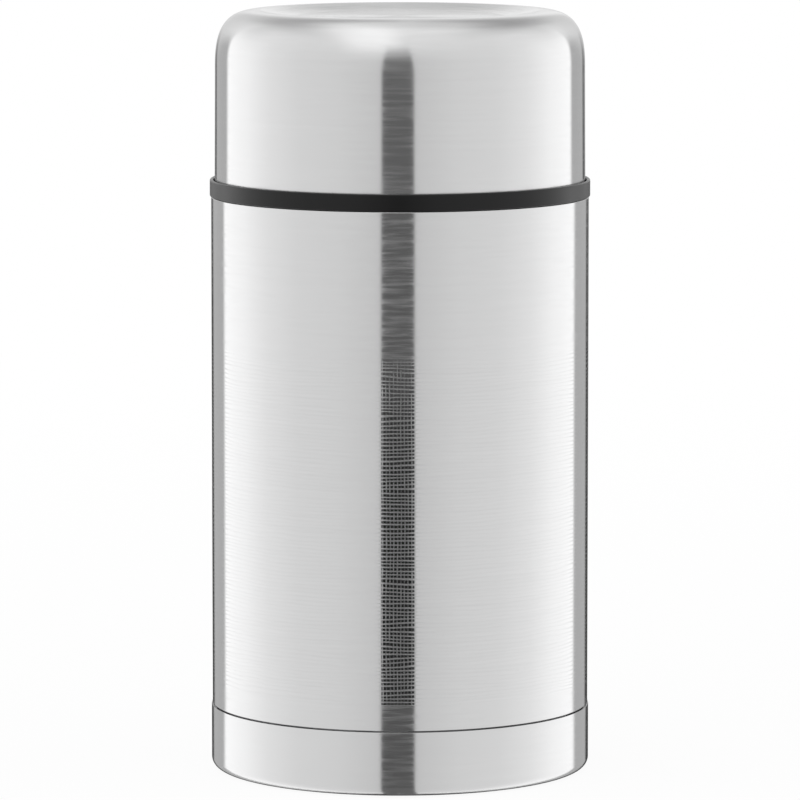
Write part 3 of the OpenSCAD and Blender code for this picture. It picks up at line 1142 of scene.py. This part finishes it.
@dataclass
class Stopper(Assembly):
    """Insulated plug with its gasket, grip cover and return spring."""

    body: Body = Body.STOPPER
    plug_r: float = 45.0
    plug_z: float = 165.0
    wall: float = 1.8
    corner_r: float = 3.0
    seat_r: float = 42.8
    gasket_z: float = 168.0
    gasket_h: float = 4.4
    gasket_r: float = 46.2
    guide_r: float = 3.3
    guide_t: float = 1.6
    guide_top: float = 210.5
    flange_z: float = 204.6
    cover_z: float = 207.0
    top_z: float = 223.1
    grip_r: float = 49.4
    cover_wall: float = 2.0
    edge_r: float = 3.0
    well_r: float = 9.4
    spring_z: float = 209.0
    spring_top: float = 222.5
    flutes: int = 24
    flute_r: float = 3.2
    flute_depth: float = 1.0
    hollow_depth: float = 0.8
    hollow_r: float = 60.0
    hollow_reach: float = 12.0      # beyond which the ball that presses a hollow is left out
    spring_r: float = 6.4
    wire_d: float = 0.8

    def plug(self) -> bpy.types.Object:
        """Moulded plug with its flange and guide tube.

        Returns:
            The piece.
        """
        step_z = self.gasket_z + self.gasket_h
        foot = arc((self.seat_r - self.corner_r, self.gasket_z), self.corner_r, 270, 360, 14)
        inside = [(r, z) for r, z in beside(
            [(self.guide_r, self.plug_z), *foot, (self.seat_r, step_z), (self.plug_r, step_z),
             (self.plug_r, self.flange_z)], -self.wall)][1:-1]
        inner_r, tube_r = self.plug_r - self.wall, self.guide_r + self.guide_t
        outline = [
            (self.guide_r, self.plug_z), *foot, (self.seat_r, step_z), (self.plug_r, step_z),
            (self.plug_r, self.flange_z), (self.grip_r, self.flange_z), (self.grip_r, self.cover_z),
            (inner_r, self.cover_z), *reversed(inside), (tube_r, self.plug_z + self.wall),
            (tube_r, self.guide_top), (self.guide_r, self.guide_top)]
        return Turning("plug_moulded", eased(outline, 0.3, 60)).build()

    def gasket(self) -> bpy.types.Object:
        """Silicone ring with its wiping lip.

        Returns:
            The piece.
        """
        mid_r = self.seat_r + (self.gasket_r - self.seat_r) / 2
        top = self.gasket_z + self.gasket_h
        outline = [
            (self.seat_r, self.gasket_z), (mid_r, self.gasket_z),
            (mid_r, self.gasket_z + self.gasket_h * 0.4), (self.gasket_r, top - 1),
            (self.gasket_r, top), (self.seat_r, top)]
        return Turning("lip_gasket", eased(outline, 0.35)).build()

    def _grip_shape(self, r: np.ndarray, z: np.ndarray,
                    angle: np.ndarray) -> tuple[np.ndarray, np.ndarray]:
        """Presses the flutes and the two finger hollows into the cover.

        Args:
            r: Radii of one ring of points.
            z: Their heights.
            angle: Their angles.

        Returns:
            The new radii and heights.
        """
        pitch = 2 * math.pi / self.flutes
        off = (angle + pitch / 2) % pitch - pitch / 2
        centre = self.grip_r + self.flute_r - self.flute_depth
        reach = self.flute_r**2 - (centre * np.sin(off)) ** 2
        wall = np.where(reach > 0, centre * np.cos(off) - np.sqrt(np.maximum(reach, 0)), np.inf)
        if r[0] > self.grip_r - self.cover_wall + 0.3:
            r = np.minimum(r, wall)
        if z[0] > self.top_z - 0.7:
            middle = (self.well_r + self.cover_wall + self.grip_r - self.edge_r) / 2
            ball_z = self.top_z + self.hollow_r - self.hollow_depth
            for side in (-1, 1):
                far = (r * np.cos(angle) - side * middle) ** 2 + (r * np.sin(angle)) ** 2
                floor = ball_z - np.sqrt(np.maximum(self.hollow_r**2 - far, 0))
                z = np.where(far < self.hollow_reach**2, np.minimum(z, floor), z)
        return r, z

    def grip(self) -> bpy.types.Object:
        """Fluted grip cover with the button's well and two finger hollows.

        Returns:
            The piece.
        """
        rim_r, in_r = self.well_r + self.cover_wall, self.grip_r - self.cover_wall
        under_z = self.top_z - self.cover_wall
        outline = [
            (self.grip_r, self.cover_z), (self.grip_r, self.cover_z + 0.4),
            *line((self.grip_r, self.cover_z + 3), (self.grip_r, self.top_z - self.edge_r - 0.4), 3),
            *arc((self.grip_r - self.edge_r, self.top_z - self.edge_r), self.edge_r, 0, 90, 14),
            *line((self.grip_r - self.edge_r - 0.4, self.top_z), (self.well_r + 0.5, self.top_z), 34),
            *arc((self.well_r + 0.4, self.top_z - 0.4), 0.4, 90, 180, 5),
            (self.well_r, self.spring_z), (self.guide_r + self.guide_t, self.spring_z),
            (self.guide_r + self.guide_t, self.cover_z), (rim_r, self.cover_z), (rim_r, under_z),
            *arc((self.grip_r - self.edge_r, self.top_z - self.edge_r),
                 self.edge_r - self.cover_wall, 90, 0, 6),
            (in_r, self.cover_z)]
        pitch = 2 * math.pi / self.flutes
        centre = self.grip_r + self.flute_r - self.flute_depth
        half = math.acos((self.grip_r**2 + centre**2 - self.flute_r**2) / (2 * self.grip_r * centre))
        one = np.concatenate([np.linspace(-half, half, 11), np.linspace(half, pitch - half, 6)[1:-1]])
        angles = np.concatenate([one + i * pitch for i in range(self.flutes)])
        return Turning("grip_cover", outline, shape=self._grip_shape, angles=angles).build()

    def build(self) -> None:
        """Makes and dresses the stopper."""
        self.fit(self.plug(), "grey_plastic", Slot.GREY_PLASTIC, "stopper_body")
        self.fit(self.gasket(), "silicone", Slot.SILICONE, "stopper_gasket")
        self.fit(self.grip(), "black_plastic", Slot.BLACK_PLASTIC, "stopper_cover")
        thread = ThreadRidge("plug_thread", self.plug_r, rise=1.0, low_z=184.25, pitch=4.5, turns=2.2)
        self.fit(thread.build(), "grey_plastic", Slot.GREY_PLASTIC)
        spring = Coil("return_spring", self.spring_r, self.wire_d, self.spring_z + self.wire_d / 2,
                      self.spring_top - self.wire_d / 2, turns=4).build()
        self.wardrobe.dress(spring, "wire_steel")
        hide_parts("vent_spring")
        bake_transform(spring)
        log.info("%s stands for vent_spring, bends between stopper and vent", spring.name)
        self.carry(stopper_foam="foam")


@dataclass
class Vent(Assembly):
    """Push button with its stem, valve disc and seal washer."""

    body: Body = Body.VENT
    button_r: float = 9.1
    top_z: float = 224.7
    top_t: float = 2.2
    skirt_t: float = 1.2
    skirt_z: float = 212.5
    boss_r: float = 4.3
    boss_h: float = 3.6
    stem_r: float = 2.9
    valve_r: float = 9.5
    valve_z: tuple[float, float] = (161.9, 163.7)
    seal_r: float = 8.5
    seal_top: float = 164.9

    def button(self) -> bpy.types.Object:
        """Push button with a dished top, its skirt and the stem's boss.

        Returns:
            The piece.
        """
        under = self.top_z - self.top_t
        flat_r = self.button_r - 2.4
        dish = [(r, self.top_z - 0.6 + 0.2 * (r / flat_r) ** 2) for r in np.linspace(0, flat_r, 12)]
        outline = [
            *dish, *arc((self.button_r - 1, self.top_z - 1), 1, 90, 0, 10),
            (self.button_r, self.skirt_z), (self.button_r - self.skirt_t, self.skirt_z),
            (self.button_r - self.skirt_t, under), (self.boss_r, under),
            (self.boss_r, under - self.boss_h), (self.stem_r, under - self.boss_h),
            (self.stem_r, under), (0, under)]
        return Turning("push_button", eased(outline, 0.2), facets=128).build()

    def valve(self) -> bpy.types.Object:
        """Disc under the plug.

        Returns:
            The piece.
        """
        low, high = self.valve_z
        outline = [(self.stem_r, low), (self.valve_r - 0.6, low), (self.valve_r, low + 0.6),
                   (self.valve_r, high), (self.stem_r, high)]
        return Turning("valve_disc", eased(outline, 0.2, 30), facets=128).build()

    def seal(self) -> bpy.types.Object:
        """Silicone washer on the disc.

        Returns:
            The piece.
        """
        low = self.valve_z[1]
        outline = [(self.stem_r, low), (self.seal_r, low), (self.seal_r - 0.4, self.seal_top),
                   (self.stem_r, self.seal_top)]
        return Turning("seal_washer", eased(outline, 0.25), facets=128).build()

    def build(self) -> None:
        """Makes and dresses the vent."""
        self.fit(self.button(), "grey_plastic", Slot.GREY_PLASTIC, "vent_button")
        self.fit(self.valve(), "grey_plastic", Slot.GREY_PLASTIC, "vent_valve")
        self.fit(self.seal(), "silicone", Slot.SILICONE, "vent_seal")
        self.carry(vent_stem="wire_steel")


@dataclass
class Cup(Assembly):
    """Steel cup, its plastic inner cup with the rim ring, and the foam between them."""

    body: Body = Body.CUP
    foot_r: float = 58.85
    top_r: float = 58.65
    wall: float = 0.5
    shoulder_w: float = 14.0
    shoulder_h: float = 18.8
    power: float = 2.85
    crest_z: float = 241.8
    crest_r: float = 1.2
    crest_turn: float = 12.0
    dish_depth: float = 1.8
    dish_slope_w: float = 12.0
    dish_ease: float = 1.4          # 1 for a straight slope, more where it flattens inwards
    rim_r: float = 60.4
    rim_z: float = 183.1
    rim_h: float = 5.3
    rim_floor: float = 2.4
    lip_t: float = 1.1
    rim_round: float = 0.5
    collar_r: float = 58.25
    collar_h: float = 7.0
    collar_t: float = 1.4
    in_r: float = 52.2
    in_wall: float = 1.8
    in_corner_r: float = 13.0
    in_top: float = 236.5

    def steel(self) -> bpy.types.Object:
        """Drawn steel cup with its rounded shoulder, crest and dish.

        Returns:
            The piece.
        """
        crest = (self.top_r - self.shoulder_w, self.crest_z - self.crest_r)
        low = self.crest_z - self.shoulder_h
        turn = np.radians(90 * np.linspace(0, 1, 73)[:-1])
        shoulder = [
            (crest[0] + self.shoulder_w * math.cos(t) ** (2 / self.power),
             low + self.shoulder_h * math.sin(t) ** (2 / self.power)) for t in turn]
        over = arc(crest, self.crest_r, 90, 90 + self.crest_turn, 10)
        dish_z = self.crest_z - self.dish_depth
        end = over[-1]
        dish = [(end[0] - self.dish_slope_w * t, dish_z + (end[1] - dish_z) * (1 - t) ** self.dish_ease)
                for t in np.linspace(0, 1, 25)[1:]]
        path = [
            *line((self.foot_r, self.rim_z + self.rim_floor), shoulder[0], 6)[:-1],
            *shoulder, *over, *dish, *line(dish[-1], (0, dish_z), 8)[1:]]
        return Turning("cup_steel", eased(sheet(path, -self.wall), 0.12, 60)).build()

    def inner(self) -> bpy.types.Object:
        """Plastic cup with its collar and the rim ring that holds the steel's edge.

        Returns:
            The piece.
        """
        floor_z, top_z = self.rim_z + self.rim_floor, self.rim_z + self.rim_h
        out_r, lip_r = self.in_r + self.in_wall, self.rim_r - self.lip_t
        wall = [
            *arc((out_r - self.in_corner_r, self.in_top - self.in_corner_r),
                 self.in_corner_r, 0, 90, 24),
            *line((out_r - self.in_corner_r, self.in_top), (0, self.in_top), 5)[1:]]
        inside = beside([(out_r, self.rim_z), *wall], -self.in_wall)
        bend, under = self.rim_round, 0.3
        outline = [
            *reversed(inside),
            *arc((self.rim_r - under, self.rim_z + under), under, 270, 360, 8),
            *arc((self.rim_r - bend, top_z - bend), bend, 0, 90, 8),
            *arc((lip_r + bend, top_z - bend), bend, 90, 180, 8),
            (lip_r, floor_z), (self.collar_r, floor_z),
            (self.collar_r, floor_z + self.collar_h - 1),
            (self.collar_r - 1, floor_z + self.collar_h),
            (self.collar_r - self.collar_t, floor_z + self.collar_h),
            (self.collar_r - self.collar_t, floor_z), (out_r, floor_z), *wall]
        return Turning("cup_inner", eased(outline, 0.15, 60)).build()

    def build(self) -> None:
        """Makes and dresses the cup."""
        self.fit(self.steel(), "cap_steel", Slot.BRUSHED_STEEL, "cup_shell")
        self.fit(self.inner(), "black_plastic", Slot.BLACK_PLASTIC, "cup_liner")
        thread = ThreadRidge("cup_thread", self.in_r, rise=-1.2, low_z=185.9, pitch=5.0, turns=1.9)
        self.fit(thread.build(), "black_plastic", Slot.BLACK_PLASTIC)
        self.carry(cup_insulation="foam")


@dataclass
class Studio:
    """Pale floor, white surroundings, a soft light tent and the camera."""

    distance: float = 2.0           # of the camera from the jar's axis
    height: float = 0.3555
    pitch: float = 6.786
    lens: float = 284.2
    tent_r: float = 6.0
    floor_r: float = 3.5
    world_light: float = 0.7        # of the surroundings where they aren't seen
    turned: float = -1.3            # degrees by which the tent is turned off the camera
    span: float = 181.5             # degrees that the three lists of light are spread over
    # Light by degrees from the camera's side: low on the tent's wall, above it, and in the band
    # over that
    wall_light: tuple[tuple[float, float], ...] = (
        (0, 0.17), (9.6, 0.17), (10.4, 0.79), (13, 0.82), (37, 0.94), (64, 1.00), (87, 1.14),
        (108, 1.36), (132.5, 1.48), (136, 0.57), (158, 0.54), (161.5, 0.06), (180, 0.06))
    haze_light: tuple[tuple[float, float], ...] = (
        (0, 1.13), (30, 1.06), (64, 1.06), (85, 1.10), (100, 1.13), (125, 0.98), (131, 0.98),
        (134, 1.12), (145, 1.0), (155, 0.90), (163, 0.81), (172, 0.75), (180, 0.80))
    band_light: tuple[tuple[float, float], ...] = (
        (0, 1.14), (40, 1.06), (60, 0.99), (80, 0.94), (95, 0.90), (110, 0.83), (125, 0.74),
        (145, 0.63), (155, 0.58), (165, 0.54), (173, 0.56), (177, 0.66), (180, 0.80))
    top_light: float = 1.17
    crest_light: float = 0.95
    gap_light: float = 0.17
    # Elevations from which and to which the slit at the camera is quite dark
    pit: tuple[float, float] = (-10.2, -5.5)

    def camera(self) -> None:
        """Sets the camera that has the photograph's view."""
        data = bpy.data.cameras.new("camera")
        data.lens, data.sensor_width, data.clip_end = self.lens, 36.0, 100.0
        camera = bpy.data.objects.new("camera", data)
        camera.location = (0.0, -self.distance, self.height)
        camera.rotation_euler = (math.radians(90 - self.pitch), 0.0, 0.0)
        bpy.context.scene.collection.objects.link(camera)
        bpy.context.scene.camera = camera

    def world(self) -> None:
        """White surroundings, dimmer as a light than as a background."""
        world = bpy.data.worlds.new("surroundings")
        world.use_nodes = True
        bpy.context.scene.world = world
        s = Nodes(world.node_tree)
        back = next(n for n in s.tree.nodes if n.type == "BACKGROUND")
        back.inputs[0].default_value = (1, 1, 1, 1)
        s.link(s.spread(s.seen(), 0, 1, self.world_light, 1.0), back.inputs[1])

    def floor(self) -> None:
        """Plain pale floor that keeps a faint shadow near the jar."""
        turn = full_turn(96)
        rings = [0.0, 0.2, 0.6, 1.4, self.floor_r]
        points = [(r * math.cos(a), r * math.sin(a), -0.0003) for r in rings[1:] for a in turn]
        points.append((0.0, 0.0, -0.0003))
        count, middle = len(turn), len(points) - 1
        faces = [[middle, k, (k + 1) % count] for k in range(count)]
        faces += ring_faces(len(rings) - 1, count)
        floor = new_object("floor", np.array(points), faces)
        s = Shader("floor")
        s.tree.nodes.remove(s.surface)
        x, y, _ = s.place()
        plain = s.add("ShaderNodeBsdfDiffuse")
        plain.inputs[0].default_value = (0.9, 0.9, 0.9, 1)
        glow = s.add("ShaderNodeEmission")
        glow.inputs[0].default_value = (1, 1, 1, 1)
        both = s.add("ShaderNodeMixShader")
        share = s.spread(s.far(x, y), 0.15, 1.2, 0.91, 1.0, True)
        s.link(s.times(share, s.seen()), both.inputs[0])
        s.link(plain.outputs[0], both.inputs[1])
        s.link(glow.outputs[0], both.inputs[2])
        s.link(both.outputs[0], s.output.inputs[0])
        floor.data.materials.append(s.material)
        floor.visible_glossy = False

    def tent(self) -> None:
        """Round light tent with a dark slit at the camera and dark edges behind."""
        rows, count = 33, 72
        points = [(math.cos(e) * math.cos(a), math.cos(e) * math.sin(a), math.sin(e))
                  for e in np.radians(np.linspace(-89, 89, rows)) for a in full_turn(count)]
        tent = new_object("light_tent", np.array(points) * self.tent_r, ring_faces(rows, count))
        s = Shader("light_tent")
        s.tree.nodes.remove(s.surface)
        x, y, z = s.place()
        away = s.math("ARCTAN2", x, s.times(y, -1.0))
        away = s.math("ABSOLUTE", s.math("SUBTRACT", s.times(away, 180 / math.pi), self.turned))
        up = s.times(s.math("ARCTAN2", z, s.far(x, y)), 180 / math.pi)
        narrowed = s.times(s.spread(up, 0, 28, 0, 3.2), s.spread(away, 20, 40, 1, 0))
        side = s.plus(away, narrowed)
        share = s.math("DIVIDE", side, self.span)
        wall, haze, band = (
            s.times(s.colour(share, [(a / self.span, (v / 2,) * 3) for a, v in light]), 2.0)
            for light in (self.wall_light, self.haze_light, self.band_light))
        low, high = self.pit
        pit = s.times(s.spread(away, 9.6, 10.2, 1, 0), s.times(
            s.spread(up, low - 0.4, low), s.spread(up, high, high + 0.4, 1, 0)))
        raised = s.plus(up, s.spread(away, 140, 174, 0, 14))
        behind = s.times(s.spread(away, 133.5, 136.5), s.spread(raised, 5, 17, smooth=True))
        lifted = s.plus(up, s.spread(away, 125, 174, 0, 19))
        crest = s.times(s.spread(away, 173, 177), s.times(
            s.spread(up, 4, 8, smooth=True), s.spread(up, 15, 22, 1, 0, True)))
        light = s.mix(wall, 0.02, pit)
        light = s.mix(light, self.gap_light, self._gap_below(s, x, y, up))
        light = s.mix(light, haze, s.math("MAXIMUM", behind, s.spread(up, 6, 38, smooth=True)))
        light = s.mix(light, band, s.spread(lifted, 36, 54, smooth=True))
        light = s.mix(light, self.top_light, s.spread(lifted, 57, 76, smooth=True))
        light = s.mix(light, self.crest_light, crest)
        light = s.times(light, self._overhead(s, x, y, up))
        glow = s.add("ShaderNodeEmission")
        s.link(light, glow.inputs[1])
        s.link(glow.outputs[0], s.output.inputs[0])
        tent.data.materials.append(s.material)
        tent.visible_camera = False

    def _gap_below(self, s: Shader, x: Socket, y: Socket, up: Socket) -> Socket:
        """Where the slit at the camera runs on under the jar, as wide as it looks in an upright wall.

        Args:
            s: The tent's material.
            x: Sideways place on the tent.
            y: Place on the tent away from the camera.
            up: Elevation in degrees.

        Returns:
            1 in the slit, 0 beside it.
        """
        turn = math.radians(self.turned)
        aside = s.math("ABSOLUTE", s.plus(s.times(x, math.cos(turn)), s.times(y, math.sin(turn))))
        half = s.plus(0.09 * self.tent_r, s.times(y, -0.085))
        inside = s.spread(s.math("DIVIDE", aside, half), 0.96, 1.04, 1, 0)
        return s.times(inside, s.spread(up, -16, -12, 1, 0))

    def _overhead(self, s: Shader, x: Socket, y: Socket, up: Socket) -> Socket:
        """A brighter panel overhead to the left and a dimmer corner behind to the right.

        Args:
            s: The tent's material.
            x: Sideways place on the tent.
            y: Place on the tent away from the camera.
            up: Elevation in degrees.

        Returns:
            The factor on the light.
        """
        across, back = s.math("DIVIDE", x, self.tent_r), s.math("DIVIDE", y, self.tent_r)
        panel = s.times(s.spread(up, 15, 30), s.times(
            s.spread(s.math("ABSOLUTE", s.plus(across, 0.27)), 0.08, 0.36, 1, 0, True),
            s.spread(back, -0.3, 0.4, 1, 0, True)))
        off = s.far(s.plus(across, -0.21), s.plus(back, -0.39))
        corner = s.times(s.spread(up, 10, 20), s.spread(off, 0.05, 0.55, 1, 0, True))
        return s.plus(1.0, s.math("SUBTRACT", s.times(panel, 0.26), s.times(corner, 0.27)))

    def build(self) -> None:
        """Sets the studio."""
        self.camera()
        self.world()
        self.floor()
        self.tent()
        bpy.context.scene.view_settings.view_transform = "Standard"
        log.info("studio set")


def main() -> None:
    """Builds the jar's looks round its solids."""
    logging.basicConfig(level=logging.INFO, format="%(name)s: %(message)s")
    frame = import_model()
    wardrobe = Wardrobe({finish.name: finish for finish in FINISHES})
    Studio().build()
    for assembly in (Vessel, Stopper, Vent, Cup):
        assembly(frame, wardrobe).build()


if __name__ == "__main__":
    main()
